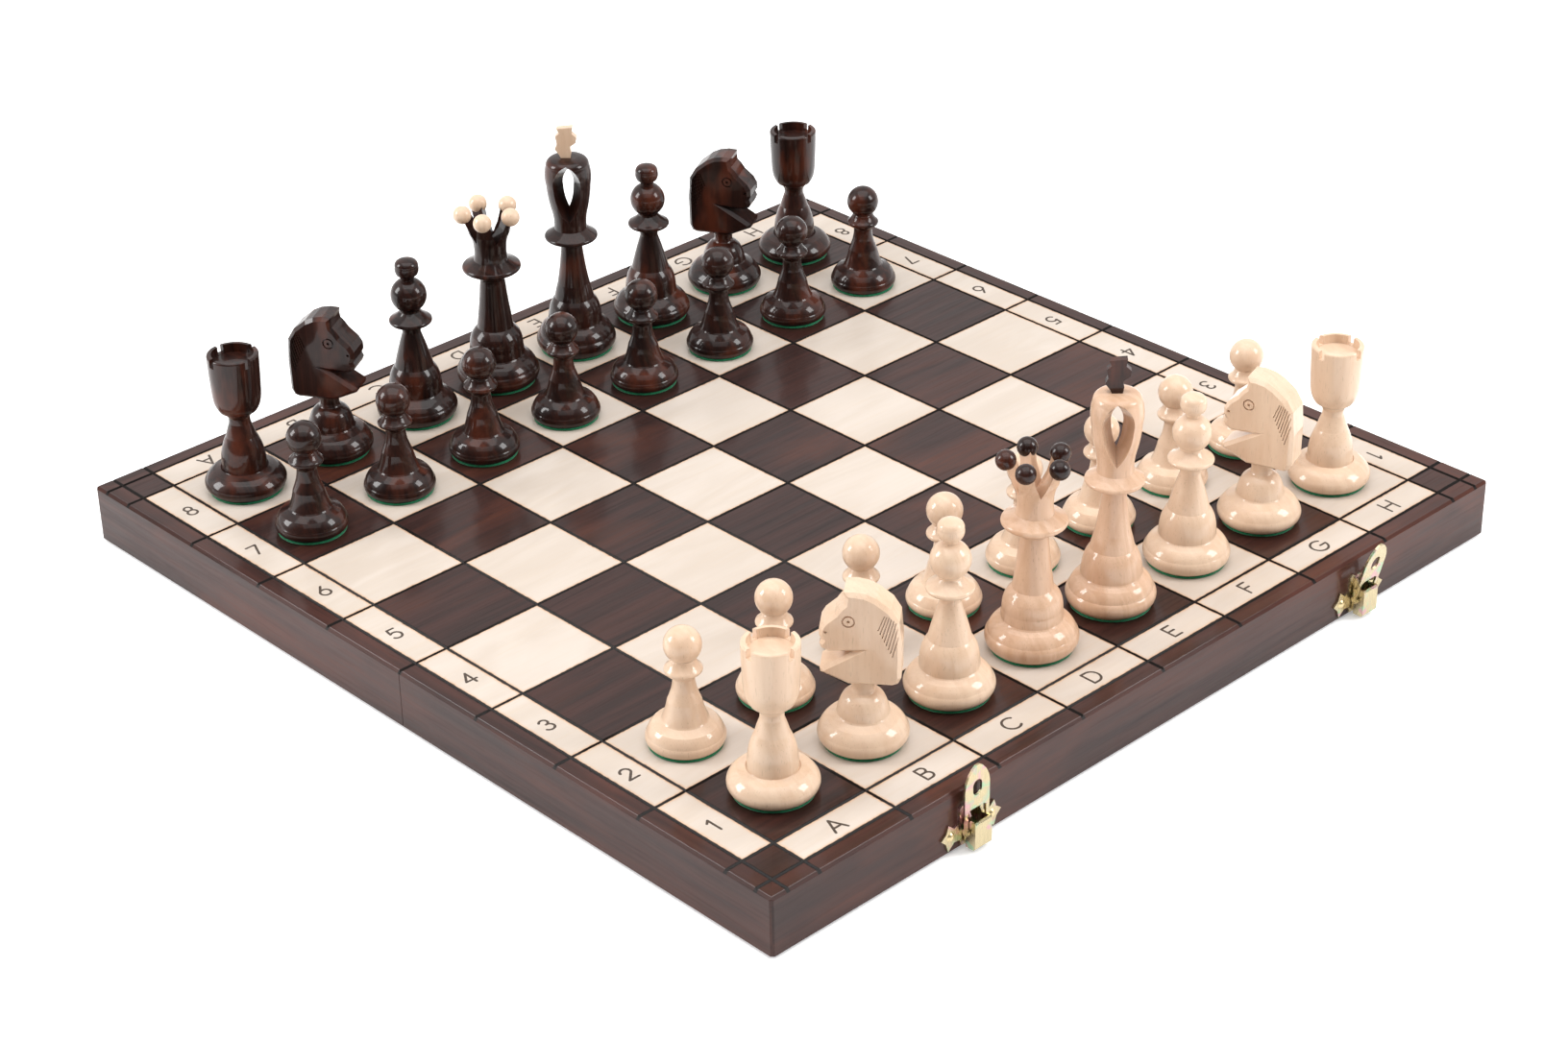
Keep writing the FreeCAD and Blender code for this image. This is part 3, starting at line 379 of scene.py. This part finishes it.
# Strokes of each character, one unit high, on the baseline, centred on x = 0.
GLYPHS = {
    "A": [[(-0.42, 0), (0, 1)], [(0, 1), (0.42, 0)], [(-0.28, 0.33), (0.28, 0.33)]],
    "B": [[(-0.28, 0), (-0.28, 1)],
          [(-0.28, 1), (0, 1), *arc(0, 0.77, 0.24, 0.23, 80, -80), (0, 0.54), (-0.28, 0.54)],
          [(0, 0.54), *arc(0.02, 0.27, 0.29, 0.27, 80, -80), (0, 0), (-0.28, 0)]],
    "C": [arc(0.06, 0.5, 0.5, 0.51, 48, 312, 36)],
    "D": [[(-0.38, 0), (-0.38, 1)],
          [(-0.38, 1), (-0.1, 1), *arc(-0.08, 0.5, 0.48, 0.5, 80, -80), (-0.1, 0), (-0.38, 0)]],
    "E": [[(-0.27, 0), (-0.27, 1)], [(-0.27, 1), (0.28, 1)], [(-0.27, 0.52), (0.2, 0.52)],
          [(-0.27, 0), (0.28, 0)]],
    "F": [[(-0.25, 0), (-0.25, 1)], [(-0.25, 1), (0.28, 1)], [(-0.25, 0.52), (0.18, 0.52)]],
    "G": [[*arc(0, 0.5, 0.52, 0.51, 48, 355, 40), (0.52, 0.5)], [(0.52, 0.5), (0.08, 0.5)]],
    "H": [[(-0.37, 0), (-0.37, 1)], [(0.37, 0), (0.37, 1)], [(-0.37, 0.53), (0.37, 0.53)]],
    "1": [[(-0.16, 0.8), (0.06, 1)], [(0.06, 1), (0.06, 0)]],
    "2": [[*arc(0, 0.71, 0.29, 0.29, 172, -38, 24), (-0.31, 0)], [(-0.31, 0), (0.33, 0)]],
    "3": [arc(0, 0.765, 0.24, 0.235, 155, -90, 22), arc(0, 0.27, 0.29, 0.27, 90, -155, 24)],
    "4": [[(0.13, 0), (0.13, 1)], [(0.13, 1), (-0.34, 0.27)], [(-0.34, 0.27), (0.34, 0.27)]],
    "5": [[(0.26, 1), (-0.16, 1)], [(-0.16, 1), (-0.24, 0.55)], arc(-0.01, 0.32, 0.31, 0.32, 132, -148, 26)],
    "6": [arc(0, 0.31, 0.3, 0.31, 0, 360, 36), [(-0.26, 0.46), (0.14, 1)]],
    "7": [[(-0.3, 1), (0.3, 1)], [(0.3, 1), (-0.1, 0)]],
    "8": [arc(0, 0.76, 0.22, 0.24, 0, 360, 28), arc(0, 0.27, 0.29, 0.27, 0, 360, 32)],
}
LETTER = 0.0074             # height of a character
PEN = 0.00056               # half the width of a stroke
STROKE_STEP = 0.0004        # spacing of the rings along a stroke


def stroke(form, points, rng):
    """A thin rounded bead of char along the points, with rounded ends."""
    closed = (points[0] - points[-1]).length < 1e-6
    if closed:
        points = points[:-1]
    count = len(points)
    fine = []
    for n in range(count - (0 if closed else 1)):
        a, b = points[n], points[(n + 1) % count]
        pieces = max(1, round((b - a).length / STROKE_STEP))
        fine += [a.lerp(b, k / pieces) for k in range(pieces)]
    if not closed:
        fine.append(points[-1])
    total = len(fine)
    rings = []
    for n, point in enumerate(fine):
        before = fine[(n - 1) % total] if closed or n else point
        after = fine[(n + 1) % total] if closed or n < total - 1 else point
        along = (after - before).normalized()
        side = Vector((-along.y, along.x))
        width = PEN * rng.uniform(0.92, 1.06)
        rings.append([point, along, side, width])
    if not closed:
        for end, way in ((0, -1), (-1, 1)):
            point, along, side, width = rings[end]
            for reach in (0.55, 0.88):
                thin = width * math.sqrt(1 - reach ** 2)
                tip = [point + along * width * reach * way, along, side, thin]
                rings.insert(0 if end == 0 else len(rings), tip)
    section = [(-1, -0.00004), (-0.96, 0.000012), (-0.55, 0.000035), (0, 0.00004),
               (0.55, 0.000035), (0.96, 0.000012), (1, -0.00004)]
    made = [
        [form.verts.new((*(point + side * width * across), TOP + height)) for across, height in section]
        for point, _, side, width in rings
    ]
    pairs = list(zip(made, made[1:])) + ([(made[-1], made[0])] if closed else [])
    sides = len(section)
    for low, high in pairs:
        for n in range(sides):
            m = (n + 1) % sides
            form.faces.new((low[n], high[n], high[m], low[m]))
    if not closed:
        form.faces.new(made[0])
        form.faces.new(list(reversed(made[-1])))


def labels(name, entries, body, seed):
    form = bmesh.new()
    rng = random.Random(seed)
    for text, x, y, turned in entries:
        sign = -1 if turned else 1
        for line in GLYPHS[text]:
            points = [Vector((x + sign * px * LETTER, y + sign * (py - 0.5) * LETTER)) for px, py in line]
            stroke(form, points, rng)
    bmesh.ops.recalc_face_normals(form, faces=form.faces)
    mesh = bpy.data.meshes.new(name)
    form.to_mesh(mesh)
    form.free()
    return piece(name, smooth(mesh), INK, body)


STRIP = EDGE + 0.00775      # from the middle to the middle of the label strip
for body, back, ranks in ((WHITE, False, range(4)), (BLACK, True, range(4, 8))):
    y = STRIP if back else -STRIP
    entries = [(letter.upper(), (n - 3.5) * PITCH, y, back) for n, letter in enumerate(FILES)]
    for rank in ranks:
        for x in (-STRIP, STRIP):
            entries.append((str(rank + 1), x, (rank - 3.5) * PITCH, x > 0))
    labels("labels_" + body, entries, body, 11 + back)


# ---------------------------------------------------------------- camera, floor and light

VIEW_AZIMUTH = math.radians(46.72)
VIEW_DOWN = math.radians(29.97)
ROLL = math.radians(-1.095)
away = Vector((math.cos(VIEW_AZIMUTH), math.sin(VIEW_AZIMUTH), 0))
right = Vector((math.sin(VIEW_AZIMUTH), -math.cos(VIEW_AZIMUTH), 0))
forward = away * math.cos(VIEW_DOWN) - Vector((0, 0, 1)) * math.sin(VIEW_DOWN)

camera = bpy.data.objects.new("camera", bpy.data.cameras.new("camera"))
bpy.context.scene.collection.objects.link(camera)
camera.data.lens = 76.3
camera.data.sensor_width = 36
camera.location = (-0.8482, -0.8979, 0.7207)
above = right.cross(forward)
level_right = right * math.cos(ROLL) + above * math.sin(ROLL)
level_up = above * math.cos(ROLL) - right * math.sin(ROLL)
camera.rotation_mode = "QUATERNION"
camera.rotation_quaternion = Matrix((level_right, level_up, -forward)).transposed().to_quaternion()
bpy.context.scene.camera = camera


def soft_box(name, direction, distance, width, height, power):
    lamp = bpy.data.objects.new(name, bpy.data.lights.new(name, "AREA"))
    bpy.context.scene.collection.objects.link(lamp)
    lamp.data.shape = "RECTANGLE"
    lamp.data.size, lamp.data.size_y = width, height
    lamp.data.energy = power
    lamp.location = direction.normalized() * distance
    lamp.rotation_mode = "QUATERNION"
    lamp.rotation_quaternion = direction.to_track_quat("Z", "Y")
    return lamp


up = Vector((0, 0, 1))
soft_box("key_left", -right * 0.9 + up * 0.44 - away * 0.03, 1.7, 0.55, 0.75, 17)
soft_box("key_right", right * 0.83 + up * 0.54 - away * 0.16, 1.7, 0.55, 0.75, 15)
soft_box("overhead", up - away * 0.05, 1.9, 2.2, 1.6, 20)
soft_box("front_fill", up * 0.8 - away * 0.6, 1.9, 1.8, 1.2, 6)

floor_mesh = bpy.data.meshes.new("floor")
form = bmesh.new()
bmesh.ops.create_grid(form, x_segments=8, y_segments=8, size=6)
form.to_mesh(floor_mesh)
form.free()
floor = bpy.data.objects.new("floor", floor_mesh)
bpy.context.scene.collection.objects.link(floor)
paper = Shade("paper")
floor_mesh.materials.append(paper.set(
    Base_Color=(0.93, 0.93, 0.93), Roughness=0.9, Specular_IOR_Level=0.1,
    Emission_Color=(1.0, 1.0, 1.0), Emission_Strength=0.3,
))

world = bpy.data.worlds.new("studio")
world.use_nodes = True
bpy.context.scene.world = world
nodes, links = world.node_tree.nodes, world.node_tree.links
background = nodes["Background"]
background.inputs["Color"].default_value = (1, 1, 1, 1)
spot = nodes.new("ShaderNodeTexCoord")
facing = nodes.new("ShaderNodeVectorMath")
facing.operation = "DOT_PRODUCT"
facing.inputs[1].default_value = (away * 0.85 + up * 0.53).normalized()
links.new(spot.outputs["Generated"], facing.inputs[0])
level = nodes.new("ShaderNodeMapRange")
level.interpolation_type = "SMOOTHSTEP"
level.inputs["From Min"].default_value = -0.35
level.inputs["From Max"].default_value = 0.45
level.inputs["To Min"].default_value = 0.07
level.inputs["To Max"].default_value = 0.95
links.new(facing.outputs["Value"], level.inputs["Value"])
links.new(level.outputs["Result"], background.inputs["Strength"])

bpy.context.scene.view_settings.view_transform = "Standard"
